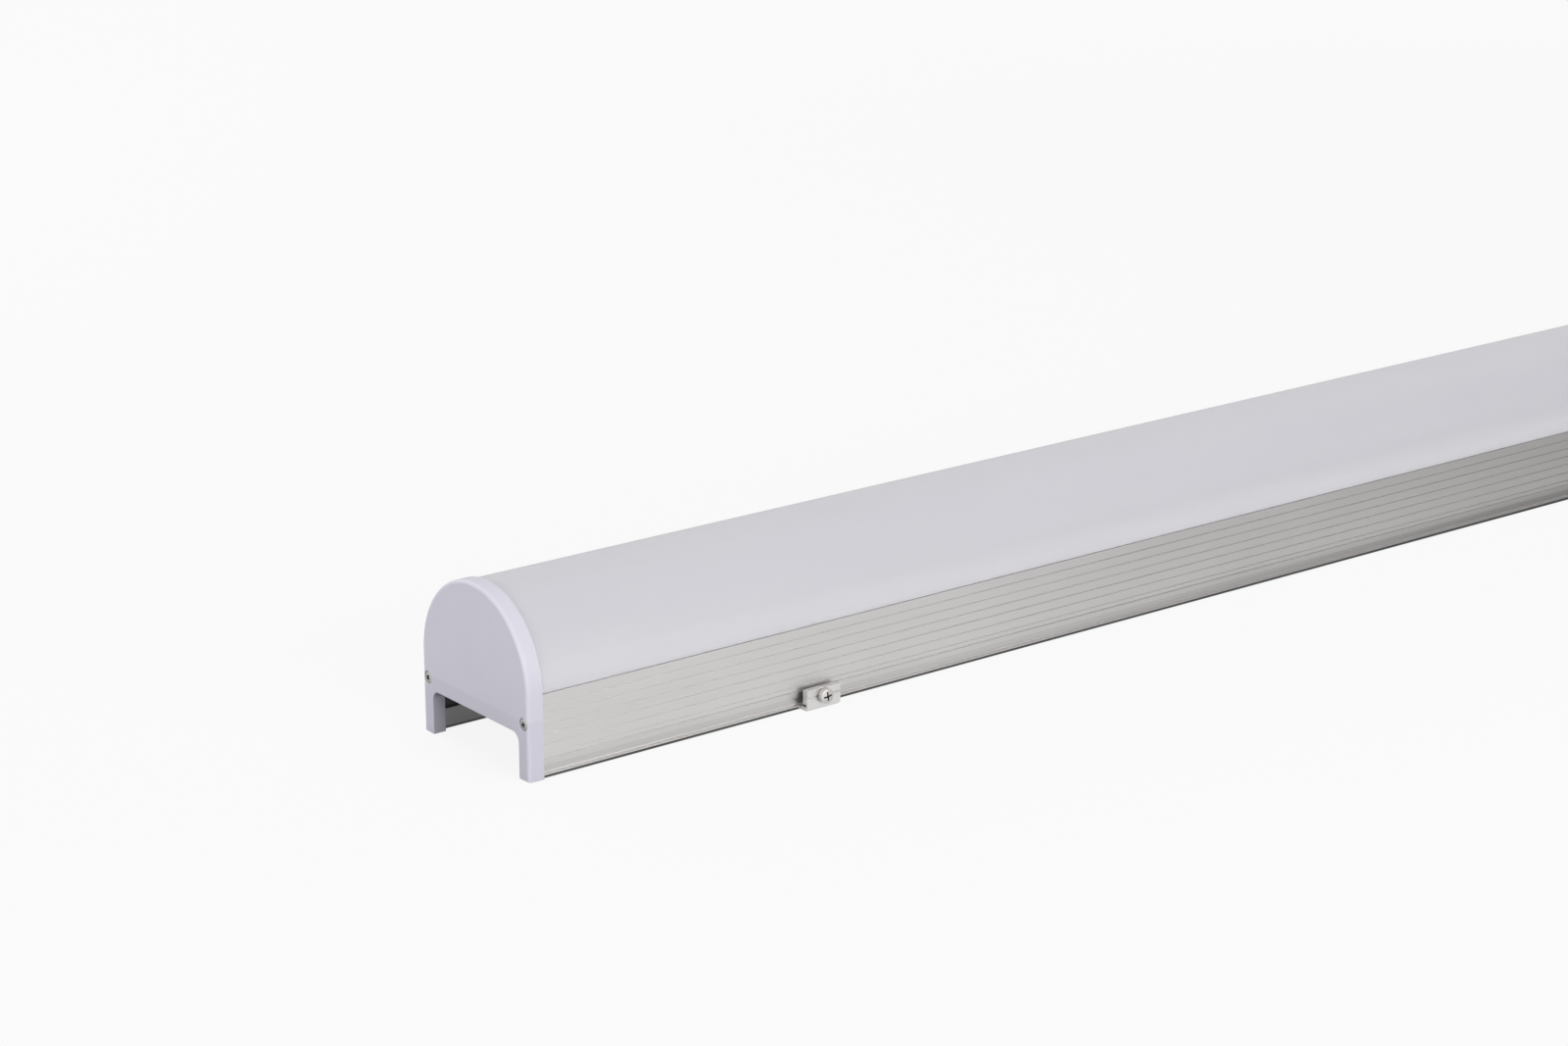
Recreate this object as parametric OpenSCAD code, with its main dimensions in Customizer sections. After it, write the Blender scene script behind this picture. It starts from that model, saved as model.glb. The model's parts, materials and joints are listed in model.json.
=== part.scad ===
// Linear wall washer light for outdoor use: an aluminium body with a domed opal cover,
// closed by two screwed end caps and held by two clips that slide along its feet.
// X runs along the light, Y across it (clip screws towards -Y), Z up from the mounting plane.
// The origin is halfway between the two wall-screw holes, on the mounting plane.

/* [Overall] */
// Length over both end caps
fixture_l = 1000; // [700:10:1500]
// Width of the aluminium body and of the cover
body_w = 80; // [76:1:100]
// Height of the aluminium sides
side_h = 36.9; // [35:0.1:44]
// Gap between the mounting plane and the underside of the body
base_gap = 1.1; // [0.9:0.1:2]

/* [Aluminium body] */
// Thickness of the sides
wall_t = 2; // [1.6:0.1:2.6]
// Thickness of the foot at the bottom of each side
foot_t = 3.5; // [3:0.1:4.5]
// Height of the foot
foot_h = 8.3; // [7.8:0.1:12]
// Thickness of the web that carries the light source
web_t = 2; // [1.6:0.1:2.6]
// Height of the wiring channel, from the feet's underside to the web
channel_h = 20.5; // [18:0.1:21]
// Distance between the fine grooves on the outside
groove_pitch = 4.5; // [3.5:0.1:5]
// Width of a fine groove
groove_w = 1; // [0.6:0.05:1.4]
// Depth of a fine groove
groove_d = 0.5; // [0.2:0.05:0.7]
// Height of the recessed band at the bottom of the outside
band_h = 7.6; // [7:0.1:9]
// Depth of the recessed band
band_d = 0.4; // [0.2:0.05:0.6]
// Height of the clip valley's centre above the feet's underside
valley_h = 2.6; // [2.4:0.1:2.9]
// Radius of the clip valley
valley_r = 2.2; // [2:0.1:2.4]
// Depth of the clip valley from the outside
valley_d = 1.3; // [1:0.05:1.4]
// Outer radius of the screw port in each side, which touches the outside
port_r = 2.75; // [2.5:0.05:3]
// Height of the screw port's centre above the web
port_up = 1.9; // [1.6:0.1:2.4]

/* [Cover] */
// Thickness of the cover
cover_t = 2; // [1.6:0.1:2.6]
// Height of the thicker foot along the cover's edges
cover_foot_h = 2.6; // [2:0.1:4]
// Thickness of the snap leg
snap_leg_t = 1.4; // [1:0.1:1.8]
// How far the snap rib stands out of the side
snap_rib_w = 0.8; // [0.6:0.05:1]
// Height of the snap rib
snap_rib_h = 1.2; // [0.8:0.1:1.4]
// Radius of the cover's lower outer edge
cover_edge_r = 1.2; // [0.6:0.1:1.6]

/* [End caps] */
// Depth of an end cap along the light
cap_l = 8.1; // [7.5:0.1:12]
// Thickness of the cap's face
cap_face_t = 3; // [2.8:0.1:3.6]
// How far the cap stands proud of the body all round
cap_proud = 1; // [0.8:0.1:1.6]
// Thickness of the cap's inner shell beside the wiring channel
cap_inner_t = 2.9; // [2:0.1:4]
// Depth of the inner shell along the light
cap_inner_l = 6.3; // [5.5:0.1:7]
// Thickness of the cap's shell under the web
cap_under_t = 1.2; // [0.8:0.1:1.6]
// Radius of the corners of the cap's arch
arch_r = 4.5; // [3:0.1:6]
// Radius of the front edge
cap_edge_r = 1.8; // [1:0.1:2.2]
// Thickness of the gasket behind each cap
gasket_t = 1; // [0.8:0.1:2]
// Thread radius of the cap screws
cap_screw_r = 1.45; // [1.2:0.05:1.6]
// Head radius of the cap screws
cap_head_r = 2.6; // [2.3:0.05:2.8]
// Head height of the cap screws
cap_head_h = 1.6; // [1.2:0.1:1.7]
// Length of the cap screws under the head
cap_screw_l = 14; // [10:1:20]

/* [Clips] */
// Distance from a clip's centre to the nearer end of the light
clip_inset = 156.5; // [130:0.5:220]
// Length of a clip along the light
clip_l = 19; // [16:0.5:25]
// Thickness of the clip's pad between the feet
pad_t = 3.5; // [3:0.1:4.5]
// Radius of the wall-screw hole
wall_hole_r = 2.6; // [2.1:0.05:3.1]
// Thickness of the ear that carries the clamping screw
ear_t = 3.1; // [2.6:0.1:4]
// Gap between the ear and the side of the body
ear_gap = 1.9; // [1.6:0.1:2.6]
// Height of the ear above the clamping screw's axis
ear_over = 3.6; // [3:0.1:5]
// Height of the clamping screw above the feet's underside
clamp_up = 4.95; // [4.6:0.05:5.4]
// Thread radius of the clamping screw
clamp_r = 1.75; // [1.5:0.05:2]
// Head radius of the clamping screw
clamp_head_r = 3.5; // [3:0.1:4]
// Head height of the clamping screw
clamp_head_h = 2.4; // [2:0.1:3]
// Thickness of the spring washer under the head
washer_t = 0.8; // [0.6:0.1:1.2]
// Thickness of the fixed hook on the far side
hook_t = 2.6; // [2:0.1:3.5]

/* [Light source] */
// Thickness of the boards
board_t = 1.6; // [1:0.1:2]
// Thickness of the heat-conducting tape under the boards
tape_t = 0.5; // [0.3:0.1:1]
// Distance between neighbouring light emitters
led_pitch = 16.5; // [10:0.5:40]
// Side of a light emitter
led_w = 5; // [2.8:0.1:6]
// Height of a light emitter
led_h = 1.6; // [0.8:0.1:2]
// Distance between the poles of a terminal block
pole_pitch = 5; // [4.6:0.1:5.8]
// Height of a terminal block
terminal_h = 9; // [7:0.5:12]

/* [Cable glands and vent] */
// Distance from a gland's axis to the nearer end of the light
gland_inset = 45; // [35:1:60]
// Radius of the gland's thread in the web
gland_thread_r = 6; // [5:0.1:6]
// Width across flats of the gland's hexagons
gland_af = 15; // [13.5:0.5:16]
// Clearance between a lock nut and what stands beside it on the web
gland_side_gap = 1.55; // [1:0.05:2]
// Height of the gland's fixed hexagon
gland_hex_h = 4; // [3:0.5:4.5]
// Height of the gland's closing nut
gland_nut_h = 8.5; // [8:0.5:9]
// Radius of the cable that the gland's seal takes
cable_r = 3.1; // [2:0.1:3.2]
// Distance from the vent's axis to the nearer end of the light
vent_inset = 108; // [100:1:140]
// Height of the vent's cap
vent_cap_h = 4; // [3:0.5:6]

/* [Hidden] */
$fn = 96;

// Overrun of a cut past the face that it opens
cut_over = 0.5;
// Radial clearance of a screw in its thread
thread_fit = 0.05;
// Radial clearance of a screw in a plain hole
hole_fit = 0.25;
// Clearance between the body and an end cap's pocket
cap_fit = 0.1;
// Gap at the seam between the cover and the body
seam_gap = 0.15;
// Clearance between the snap leg and the snap rib
snap_fit = 0.15;
// Clearance around the seal strip
seal_fit = 0.05;
// Depth of the snap rib's top below the seam
snap_rib_drop = 1.4;
// Height of the barb on the snap leg
barb_h = 1.8;
// How far the barb reaches past the snap rib's edge
barb_w = 0.75;
// Width of the slot that opens each screw port
port_slot_w = 1.1;
// Width of the flat rim that the gasket leaves inside the cover
gasket_rim = 6;
// How far the gasket stays inside the body's outline
gasket_in = 0.2;
// Clearance between the head of a cap screw and its recess
recess_fit = 0.3;
// Clearance between the board's edges and its ribs
board_fit = 0.2;
// Thickness of the ribs that hold the boards
rib_t = 1.2;
// How far a rib's lip reaches over the board
rib_lip_w = 0.8;
// Thickness of a rib's lip
rib_lip_t = 0.8;
// Clearance between the boards and the gaskets
board_end = 4;
// Gap between the two boards
board_gap = 2;
// How much narrower the tape is than the board, on each side
tape_in = 1;
// Distance from a board's outer end to its first light emitter
led_margin = 27;
// Radius of a light emitter's window
led_window_r = 1.9;
// Depth of a light emitter's window
led_window_d = 0.3;
// Sides and height of a driver chip's body
chip_w = 3.9;
chip_l = 4.9;
chip_h = 1.5;
// Clearance between a chip's pins and the lip of the rib beside them
chip_side_gap = 2.85;
// Number of light emitters that one driver chip feeds
leds_per_chip = 4;
// Width, length and thickness of a chip's pins
pin_w = 0.4;
pin_l = 1.0;
pin_t = 0.3;
// Distance between a chip's pins
pin_pitch = 1.27;
// Number of pins on each side of a chip
pin_count = 4;
// Clearance between a terminal block and the lips of the ribs, at least
terminal_side_gap = 2.5;
// Depth of a terminal block along the light
terminal_l = 8;
// Distance from a board's outer end to its terminal block
terminal_in = 3;
// Radius of a terminal's wire entry and of its screw
entry_r = 1.3;
terminal_screw_r = 1.5;
// Height of the wire entries above the board
entry_up = 2.8;
// Depth of the wire entries
entry_l = 5;
// Depth of the screw wells and length of the screws in them
well_d = 5;
terminal_screw_l = 3.5;
// Width and depth of the slot in a terminal screw
slot_w = 0.5;
slot_d = 0.8;
// Length, width and height of the connector between the boards
link_l = 14;
link_w = 12;
link_h = 3.6;
// Width and depth of the parting groove across that connector
link_groove_w = 0.6;
link_groove_d = 0.5;
// Clearance between a thread and the plain hole in the web
web_hole_fit = 0.1;
// Thickness and radial width of the gaskets under the web
ring_t = 1;
ring_w = 1.9;
// Height of a lock nut and how far the thread stands out of it
locknut_h = 2.5;
thread_out = 1;
// Radius and length of the gland's lower thread
gland_low_r = 5.6;
gland_low_l = 7;
// Wall between the gland's seal and its lower thread
gland_wall_t = 1.2;
// Clearance around the gland's seal
gland_fit = 0.1;
// Width of the ledge that the gland's seal presses against
seal_ledge_w = 0.5;
// Height of the gland's seal and how far it stands out of the gland's body
gland_seal_h = 6.5;
seal_out = 0.5;
// Thickness of the closing nut's floor and clearance of its hole round the cable
nut_floor_t = 2;
nut_hole_fit = 0.5;
// Height of the tapered end of the closing nut and radius of its tip
nut_taper_h = 3;
nut_tip_r = 5.6;
// Radius of the vent's cap and of its thread
vent_cap_r = 8;
vent_thread_r = 6;
// Radius of the vent's bore and of the membrane's seat
vent_bore_r = 3;
vent_seat_r = 4.6;
// Depth of the membrane's seat and thickness of the membrane
vent_seat_d = 1.2;
vent_membrane_t = 0.6;
// Width and height of the vent's side slots, and their number
vent_slot_w = 1.4;
vent_slot_h = 1.4;
vent_slot_count = 6;
// Thickness of the vent's cap floor
vent_floor_t = 1.2;
// Clearance between the clip's strip and the feet
strip_fit = 0.1;
// Clearance between the clip's pad and the feet
pad_side_fit = 1.5;
// Clearance between the hook and the body's lip
hook_fit = 0.3;
// Height of the hook's nose and its clearance in the valley
nose_h = 2;
nose_fit = 0.5;
// Height of the hook above its nose
hook_over = 1.6;
// Thickness of the clip's root beside the body's lip
root_t = 1.8;
// Height of the relief slot behind the ear and the skin left outside it
relief_h = 1.1;
relief_skin = 0.9;
// Width and depth of the fine line on the ear at the screw's height
line_w = 0.9;
line_d = 0.35;
// Gap between the clamping screw's tip and the body
tip_gap = 0.1;
// Chamfer on the tip of a screw
tip_chamfer = 0.4;
// Outer radius of the spring washer and the width of its split
washer_r = 3.1;
washer_split = 0.5;
// Crown of a pan head as a share of its height
crown_share = 0.45;
// Length, width and depth of a cross recess as shares of the head's diameter and height
cross_l_share = 0.58;
cross_w_share = 0.15;
cross_d_share = 0.6;

half_w = body_w / 2;
half_l = fixture_l / 2;
seam_z = base_gap + side_h;
web_z = base_gap + channel_h;
web_top = web_z + web_t;
end_t = cap_face_t + gasket_t;
ext_l = fixture_l - 2 * end_t;
port_y = half_w - port_r;
port_z = web_top + port_up;
groove_count = floor((side_h - band_h - groove_w) / groove_pitch);
leg_y = half_w - wall_t - snap_rib_w - snap_fit;
cap_leg_w = cap_proud + foot_t + cap_inner_t;
arch_y = half_w + cap_proud - cap_leg_w;
arch_z = web_z - cap_under_t;
rib_y = port_y - port_r - 2 * gland_side_gap - gland_af - rib_t;
lip_y = rib_y - rib_lip_w;
board_w = 2 * (rib_y - board_fit);
board_z = web_top + tape_t;
board_top = board_z + board_t;
board_l = (ext_l - 2 * board_end - board_gap) / 2;
board_x = -ext_l / 2 + board_end;
led_count = floor((board_l - 2 * led_margin) / led_pitch) + 1;
led_x = board_x + led_margin;
chip_count = floor(led_count / leds_per_chip);
chip_y = lip_y - chip_side_gap - pin_l - chip_w / 2;
pole_count = floor(2 * (lip_y - terminal_side_gap) / pole_pitch);
clip_x = -(half_l - clip_inset);
screw_z = base_gap + clamp_up;
ear_y = half_w + ear_gap + ear_t;
ear_h = screw_z + ear_over;
band_y = half_w - band_d;
strip_t = base_gap - strip_fit;
pad_y = half_w - foot_t - pad_side_fit;
hook_y = half_w + hook_fit;
nose_y = half_w - valley_d + nose_fit;
nose_z = base_gap + valley_h - nose_h / 2;
gland_x = -(half_l - gland_inset);
gland_y = port_y - port_r - gland_side_gap - gland_af / 2;
vent_x = half_l - vent_inset;
gland_top = web_top + locknut_h + thread_out;
gland_hex_z = web_z - ring_t - gland_hex_h;
gland_low_z = gland_hex_z - gland_low_l;
gland_seat_z = gland_low_z - seal_out;
gland_nut_z = gland_seat_z - nut_floor_t;

// Sweeps a Y-Z section along X, from x0 over a length
module along_x(x0, length) {
    translate([x0, 0, 0]) rotate([90, 0, 90]) linear_extrude(length) children();
}

// Places a shape that points up so that it points along -Y
module towards_near() {
    rotate([90, 0, 0]) children();
}

module right_end() {
    mirror([1, 0, 0]) children();
}

module both_sides() {
    children();
    mirror([1, 0]) children();
}

// Section with straight sides under a half circle
module dome_section(half, low_z) {
    translate([-half, low_z]) square([2 * half, seam_z - low_z]);
    intersection() {
        translate([0, seam_z]) circle(r = half);
        translate([-half, seam_z]) square([2 * half, half]);
    }
}

module hex_prism(across, height) {
    cylinder(r = across / sqrt(3), h = height, $fn = 6);
}

// Flat ring that lies on z = 0
module ring(outer_r, inner_r, height) {
    difference() {
        cylinder(r = outer_r, h = height);
        translate([0, 0, -cut_over]) cylinder(r = inner_r, h = height + 2 * cut_over);
    }
}

// Crossed slots, cut down from z = 0
module cross_recess(head_r, head_h) {
    length = 2 * head_r * cross_l_share;
    width = 2 * head_r * cross_w_share;
    depth = head_h * cross_d_share;
    for (turn = [0, 90]) {
        rotate([0, 0, turn]) translate([-length / 2, -width / 2, -depth])
            cube([length, width, depth + cut_over]);
    }
}

// Pan-head screw that points down, with the underside of its head at z = 0
module pan_screw(thread_r, head_r, head_h, length) {
    crown_h = head_h * crown_share;
    crown_r = (head_r * head_r + crown_h * crown_h) / (2 * crown_h);
    difference() {
        union() {
            intersection() {
                cylinder(r = head_r, h = head_h);
                translate([0, 0, head_h - crown_r]) sphere(r = crown_r);
            }
            translate([0, 0, -length + tip_chamfer]) cylinder(r = thread_r, h = length);
            translate([0, 0, -length])
                cylinder(r1 = thread_r - tip_chamfer, r2 = thread_r, h = tip_chamfer);
        }
        translate([0, 0, head_h]) cross_recess(head_r, head_h);
    }
}

// One side of the body, at +Y, with its foot, band, clip valley and fine grooves
module side_section() {
    difference() {
        union() {
            translate([half_w - wall_t, base_gap]) square([wall_t, side_h]);
            translate([half_w - foot_t, base_gap]) square([foot_t, foot_h]);
            translate([half_w - wall_t - snap_rib_w, seam_z - snap_rib_drop - snap_rib_h])
                square([snap_rib_w + wall_t / 2, snap_rib_h]);
            translate([port_y, port_z]) circle(r = port_r);
        }
        translate([band_y, base_gap + valley_h]) square([band_d + cut_over, band_h - valley_h]);
        translate([half_w + valley_r - valley_d, base_gap + valley_h]) circle(r = valley_r);
        translate([port_y, port_z]) circle(r = cap_screw_r + thread_fit);
        translate([port_y - port_r - cut_over, port_z]) square([port_r + cut_over, port_slot_w]);
        for (k = [1 : groove_count]) {
            translate([half_w, seam_z - k * groove_pitch]) fine_groove();
        }
    }
}

module fine_groove() {
    polygon([
        [-groove_d, 0],
        [0, groove_w / 2],
        [cut_over, groove_w / 2],
        [cut_over, -groove_w / 2],
        [0, -groove_w / 2]
    ]);
}

// Rib with a lip that holds one edge of the boards
module rib_section() {
    rib_h = tape_t + board_t + board_fit + rib_lip_t;
    translate([rib_y, web_top]) square([rib_t, rib_h]);
    translate([lip_y, web_top + rib_h - rib_lip_t]) square([rib_lip_w + rib_t, rib_lip_t]);
}

module base_extrusion() {
    color("silver") difference() {
        along_x(-ext_l / 2, ext_l) {
            translate([-(half_w - wall_t), web_z]) square([2 * (half_w - wall_t), web_t]);
            both_sides() {
                side_section();
                rib_section();
            }
        }
        translate([gland_x, gland_y, 0]) web_hole(gland_thread_r);
        translate([-gland_x, gland_y, 0]) web_hole(gland_thread_r);
        translate([vent_x, gland_y, 0]) web_hole(vent_thread_r);
    }
}

module web_hole(thread_r) {
    translate([0, 0, web_z - cut_over]) cylinder(r = thread_r + web_hole_fit, h = web_t + 2 * cut_over);
}

// Cover section at +Y: the foot, the snap leg and its barb
module snap_section() {
    foot_z = seam_z + seam_gap;
    rib_low = seam_z - snap_rib_drop - snap_rib_h - snap_fit;
    inner_y = leg_y - snap_leg_t;
    difference() {
        polygon([
            [inner_y, rib_low - barb_h],
            [leg_y, rib_low - barb_h],
            [leg_y + barb_w, rib_low],
            [leg_y, rib_low],
            [leg_y, foot_z],
            [half_w, foot_z],
            [half_w, foot_z + cover_foot_h],
            [inner_y, foot_z + cover_foot_h]
        ]);
        translate([half_w - cover_edge_r, foot_z - cut_over]) difference() {
            square([cover_edge_r + cut_over, cover_edge_r + cut_over]);
            translate([0, cover_edge_r + cut_over]) circle(r = cover_edge_r);
        }
        difference() {
            translate([inner_y, foot_z]) square([half_w, cover_foot_h + cut_over]);
            translate([0, seam_z]) circle(r = half_w);
        }
    }
}

module diffuser_cover() {
    foot_z = seam_z + seam_gap;
    color("whitesmoke") along_x(-ext_l / 2, ext_l) {
        difference() {
            intersection() {
                translate([0, seam_z]) circle(r = half_w);
                translate([-half_w, foot_z + cover_edge_r]) square([body_w, half_w]);
            }
            translate([0, seam_z]) circle(r = half_w - cover_t);
        }
        both_sides() snap_section();
    }
}

// Silicone strip in the corner above the snap rib
module seal_section() {
    strip_y = leg_y + seal_fit;
    translate([strip_y, seam_z - snap_rib_drop]) square([half_w - wall_t - strip_y, snap_rib_drop]);
}

module cover_seal_near() {
    color("dimgray") along_x(-ext_l / 2, ext_l) mirror([1, 0]) seal_section();
}

module cover_seal_far() {
    color("dimgray") along_x(-ext_l / 2, ext_l) seal_section();
}

// Radius and depth plan of a cap with a rounded front edge
module rounded_plan(width) {
    difference() {
        square([width, cap_l]);
        translate([width - cap_edge_r, 0]) difference() {
            translate([0, -cut_over]) square([cap_edge_r + cut_over, cap_edge_r + cut_over]);
            translate([0, cap_edge_r]) circle(r = cap_edge_r);
        }
    }
}

// Outline of the arch over the wiring channel, open at the bottom
module arch_section() {
    translate([-arch_y, -cut_over]) square([2 * arch_y, arch_z - arch_r + cut_over]);
    translate([-arch_y + arch_r, -cut_over]) square([2 * (arch_y - arch_r), arch_z + cut_over]);
    both_sides() translate([arch_y - arch_r, arch_z - arch_r]) circle(r = arch_r);
}

// End cap, with its outer face at x = 0 and its pocket towards +X
module cap_shell() {
    cap_half = half_w + cap_proud;
    recess_d = cap_head_h + cap_fit;
    foot_y = half_w - foot_t - cap_fit;
    difference() {
        union() {
            translate([0, 0, seam_z]) rotate([90, 0, 90])
                rotate_extrude(angle = 180) rounded_plan(cap_half);
            linear_extrude(seam_z) {
                rotate([0, 0, 90]) mirror([0, 1]) rounded_plan(cap_half);
                rotate([0, 0, 90]) mirror([0, 1]) mirror([1, 0]) rounded_plan(cap_half);
            }
        }
        along_x(-cut_over, cap_l + 2 * cut_over) arch_section();
        along_x(cap_face_t, cap_l) difference() {
            dome_section(half_w + cap_fit, base_gap - cap_fit);
            translate([-foot_y, 0]) square([2 * foot_y, web_z - cap_fit]);
        }
        along_x(cap_inner_l, cap_l) translate([-foot_y - cap_fit, -cut_over])
            square([2 * (foot_y + cap_fit), web_z + cut_over]);
        for (side = [-1, 1]) {
            translate([0, side * port_y, port_z]) rotate([0, 90, 0]) {
                cylinder(r = cap_screw_r + hole_fit, h = cap_face_t + cut_over);
                translate([0, 0, -cut_over]) cylinder(r = cap_head_r + recess_fit, h = recess_d + cut_over);
            }
        }
    }
}

module end_cap() {
    color("white") translate([-half_l, 0, 0]) cap_shell();
}

module end_cap_left() {
    end_cap();
}

module end_cap_right() {
    right_end() end_cap();
}

// Flat gasket between a cap and the body's end, round the sealed space above the web
module cap_gasket() {
    inner_half = half_w - gasket_rim;
    color("darkgray") along_x(-half_l + cap_face_t, gasket_t) difference() {
        dome_section(half_w - gasket_in, web_z);
        translate([-inner_half, web_top]) square([2 * inner_half, seam_z - web_top]);
        translate([0, seam_z]) circle(r = inner_half);
        both_sides() translate([port_y, port_z]) circle(r = cap_screw_r + hole_fit);
    }
}

module cap_gasket_left() {
    cap_gasket();
}

module cap_gasket_right() {
    right_end() cap_gasket();
}

module cap_screws() {
    color("lightsteelblue") for (side = [-1, 1]) {
        translate([-half_l + cap_fit + cap_head_h, side * port_y, port_z])
            rotate([0, -90, 0]) pan_screw(cap_screw_r, cap_head_r, cap_head_h, cap_screw_l);
    }
}

module cap_screws_left() {
    cap_screws();
}

module cap_screws_right() {
    right_end() cap_screws();
}

module led_board() {
    color("ivory") translate([board_x, -board_w / 2, board_z]) cube([board_l, board_w, board_t]);
}

module led_board_left() {
    led_board();
}

module led_board_right() {
    right_end() led_board();
}

module thermal_tape() {
    tape_w = board_w - 2 * tape_in;
    color("lightblue") translate([board_x, -tape_w / 2, web_top]) cube([board_l, tape_w, tape_t]);
}

module thermal_tape_left() {
    thermal_tape();
}

module thermal_tape_right() {
    right_end() thermal_tape();
}

// One light emitter that stands on z = 0
module led() {
    difference() {
        translate([-led_w / 2, -led_w / 2, 0]) cube([led_w, led_w, led_h]);
        translate([0, 0, led_h - led_window_d]) cylinder(r = led_window_r, h = led_window_d + cut_over);
    }
}

module leds() {
    color("lightyellow") for (k = [0 : led_count - 1]) {
        translate([led_x + k * led_pitch, 0, board_top]) led();
    }
}

module leds_left() {
    leds();
}

module leds_right() {
    right_end() leds();
}

// One driver chip that stands on z = 0, with its pins along X
module driver_chip() {
    translate([-chip_l / 2, -chip_w / 2, 0]) cube([chip_l, chip_w, chip_h]);
    for (k = [0 : pin_count - 1]) {
        translate([(k - (pin_count - 1) / 2) * pin_pitch - pin_w / 2, -chip_w / 2 - pin_l, 0])
            cube([pin_w, chip_w + 2 * pin_l, pin_t]);
    }
}

module driver_chips() {
    chip_pitch = leds_per_chip * led_pitch;
    color("black") for (k = [0 : chip_count - 1]) {
        translate([led_x + (k + 0.5) * chip_pitch - led_pitch / 2, chip_y, board_top]) driver_chip();
    }
}

module driver_chips_left() {
    driver_chips();
}

module driver_chips_right() {
    right_end() driver_chips();
}

module board_link() {
    color("beige") difference() {
        translate([-link_l / 2, -link_w / 2, board_top]) cube([link_l, link_w, link_h]);
        translate([-link_groove_w / 2, -link_w / 2 - cut_over, board_top + link_h - link_groove_d])
            cube([link_groove_w, link_w + 2 * cut_over, link_groove_d + cut_over]);
    }
}

// Offset of pole k from the middle of a terminal block
function pole_y(k) = (k - (pole_count - 1) / 2) * pole_pitch;

// Terminal block on the outer end of a board, with its wire entries towards the board's end
module terminal_block() {
    block_w = pole_count * pole_pitch;
    color("seagreen") translate([board_x + terminal_in, 0, board_top]) difference() {
        translate([0, -block_w / 2, 0]) cube([terminal_l, block_w, terminal_h]);
        for (k = [0 : pole_count - 1]) {
            translate([-cut_over, pole_y(k), entry_up])
                rotate([0, 90, 0]) cylinder(r = entry_r, h = entry_l + cut_over);
            translate([terminal_l / 2, pole_y(k), terminal_h - well_d])
                cylinder(r = terminal_screw_r + thread_fit, h = well_d + cut_over);
        }
    }
}

module input_terminal() {
    terminal_block();
}

module output_terminal() {
    right_end() terminal_block();
}

// Slotted screws in the wells of one terminal block
module terminal_screw_row() {
    row_x = board_x + terminal_in + terminal_l / 2;
    color("silver") for (k = [0 : pole_count - 1]) {
        translate([row_x, pole_y(k), board_top + terminal_h - well_d]) difference() {
            cylinder(r = terminal_screw_r, h = terminal_screw_l);
            translate([-terminal_screw_r - cut_over, -slot_w / 2, terminal_screw_l - slot_d])
                cube([2 * (terminal_screw_r + cut_over), slot_w, slot_d + cut_over]);
        }
    }
}

module terminal_screws() {
    terminal_screw_row();
    right_end() terminal_screw_row();
}

module at_gland() {
    translate([gland_x, gland_y, 0]) children();
}

module gland_body() {
    seal_space_r = gland_low_r - gland_wall_t;
    color("dimgray") at_gland() difference() {
        union() {
            translate([0, 0, web_z - ring_t]) cylinder(r = gland_thread_r, h = gland_top - web_z + ring_t);
            translate([0, 0, gland_hex_z]) hex_prism(gland_af, gland_hex_h);
            translate([0, 0, gland_low_z]) cylinder(r = gland_low_r, h = gland_low_l);
        }
        translate([0, 0, gland_low_z])
            cylinder(r = seal_space_r - seal_ledge_w, h = gland_top - gland_low_z + cut_over);
        translate([0, 0, gland_low_z - cut_over]) cylinder(r = seal_space_r, h = gland_seal_h + cut_over);
    }
}

module gland_body_left() {
    gland_body();
}

module gland_body_right() {
    right_end() gland_body();
}

module gland_gasket() {
    color("black") at_gland() translate([0, 0, web_z - ring_t])
        ring(gland_thread_r + ring_w, gland_thread_r + web_hole_fit, ring_t);
}

module gland_gasket_left() {
    gland_gasket();
}

module gland_gasket_right() {
    right_end() gland_gasket();
}

// Rubber sleeve that the closing nut squeezes round the cable
module gland_seal() {
    color("black") at_gland() translate([0, 0, gland_seat_z])
        ring(gland_low_r - gland_wall_t - gland_fit, cable_r, gland_seal_h);
}

module gland_seal_left() {
    gland_seal();
}

module gland_seal_right() {
    right_end() gland_seal();
}

module gland_nut() {
    color("dimgray") at_gland() translate([0, 0, gland_nut_z]) difference() {
        union() {
            translate([0, 0, nut_taper_h]) hex_prism(gland_af, gland_nut_h - nut_taper_h);
            cylinder(r1 = nut_tip_r, r2 = gland_af / 2, h = nut_taper_h);
        }
        translate([0, 0, -cut_over]) cylinder(r = cable_r + nut_hole_fit, h = nut_floor_t + 2 * cut_over);
        translate([0, 0, nut_floor_t]) cylinder(r = gland_low_r + thread_fit, h = gland_nut_h);
    }
}

module gland_nut_left() {
    gland_nut();
}

module gland_nut_right() {
    right_end() gland_nut();
}

// Thin hexagonal nut on the web's upper face
module locknut(thread_r) {
    color("gray") translate([0, 0, web_top]) difference() {
        hex_prism(gland_af, locknut_h);
        translate([0, 0, -cut_over]) cylinder(r = thread_r + thread_fit, h = locknut_h + 2 * cut_over);
    }
}

module gland_locknut_left() {
    at_gland() locknut(gland_thread_r);
}

module gland_locknut_right() {
    right_end() at_gland() locknut(gland_thread_r);
}

module at_vent() {
    translate([vent_x, gland_y, 0]) children();
}

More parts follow.
